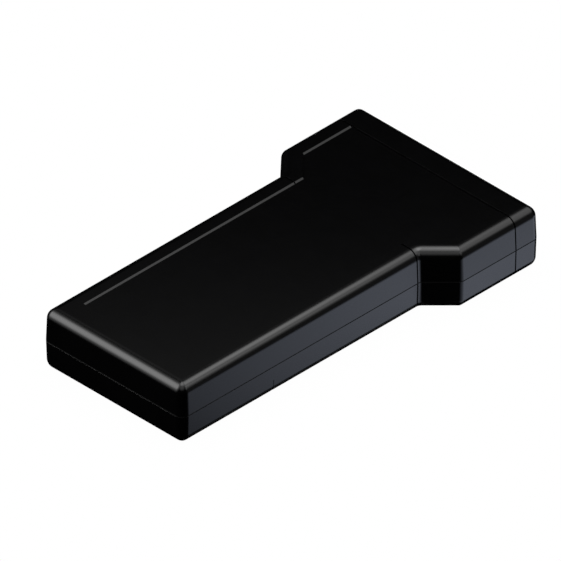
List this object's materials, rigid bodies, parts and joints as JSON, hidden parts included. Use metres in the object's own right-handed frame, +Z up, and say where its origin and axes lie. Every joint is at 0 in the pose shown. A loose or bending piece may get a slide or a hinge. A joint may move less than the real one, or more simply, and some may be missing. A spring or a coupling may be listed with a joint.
{
  "type": "handheld logic analyzer",
  "caption": "T-shaped handheld logic analyzer with a recessed top face, sliding battery door, boxed probe header and computer socket in the head.",
  "frame": {"origin": "centre of the flat underside of the case", "axes": "+X across the case, +Y from the end of the grip to the head end with the connectors, +Z up through the recessed top face"},
  "size_m": [0.1, 0.186, 0.028],
  "materials": {
    "case_plastic": "fine spark-eroded texture",
    "panel_plastic": "fine texture",
    "connector_plastic": "moulded",
    "tray_plastic": "moulded",
    "pale_plastic": "moulded",
    "chip_resin": "moulded epoxy",
    "board_laminate": "solder mask over glass fibre",
    "zinc_steel": "zinc plated",
    "tin_plate": "bright tin",
    "gold_plate": "gold flash over brass",
    "cell_can": "plain sleeve over a metal can",
    "capacitor_can": "satin can",
    "ferrite": "sintered",
    "ceramic_chip": "fired, with tinned ends",
    "red_insulation": "smooth sleeve",
    "black_insulation": "smooth sleeve",
    "button_plastic": "moulded",
    "lamp_resin": "diffused"
  },
  "bodies": {
    "case": {"top_cover": "case_plastic", "bottom_cover": "case_plastic", "end_panel": "panel_plastic", "case_screws": "zinc_steel", "battery_tray": "tray_plastic", "battery_cells": "cell_can", "battery_springs": "zinc_steel", "battery_contacts": "tin_plate", "tray_screws": "zinc_steel", "positive_lead": "red_insulation", "negative_lead": "black_insulation", "battery_plug": "pale_plastic", "battery_socket": "pale_plastic", "main_board": "board_laminate", "board_screws": "zinc_steel", "capture_chip": "chip_resin", "memory_chips": "chip_resin", "usb_chip": "chip_resin", "firmware_memory": "chip_resin", "input_buffers": "chip_resin", "resistor_networks": "chip_resin", "voltage_regulator": "chip_resin", "power_inductor": "ferrite", "smoothing_capacitors": "capacitor_can", "ceramic_capacitors": "ceramic_chip", "protection_diode": "chip_resin", "clock_crystal": "tin_plate", "probe_connector": "connector_plastic", "probe_pins": "gold_plate", "usb_shell": "tin_plate", "usb_insert": "pale_plastic", "usb_contacts": "gold_plate", "power_switch_body": "connector_plastic", "power_switch_frame": "tin_plate", "trigger_switch": "connector_plastic", "led_holder": "connector_plastic", "status_led": "lamp_resin"},
    "battery_door": {"battery_door": "case_plastic"},
    "switch_slider": {"power_switch_slider": "connector_plastic"},
    "trigger_button": {"trigger_button": "button_plastic"}
  },
  "joints": [
    {"name": "battery_door_slide", "type": "slide", "parent": "case", "child": "battery_door", "axis": [0, -1, 0], "range_m": [0, 0.008]},
    {"name": "power_switch_slide", "type": "slide", "parent": "case", "child": "switch_slider", "axis": [1, 0, 0], "range_m": [0, 0.0025]},
    {"name": "trigger_button_press", "type": "slide", "parent": "case", "child": "trigger_button", "axis": [0, -1, 0], "range_m": [0, 0.00035]}
  ]
}
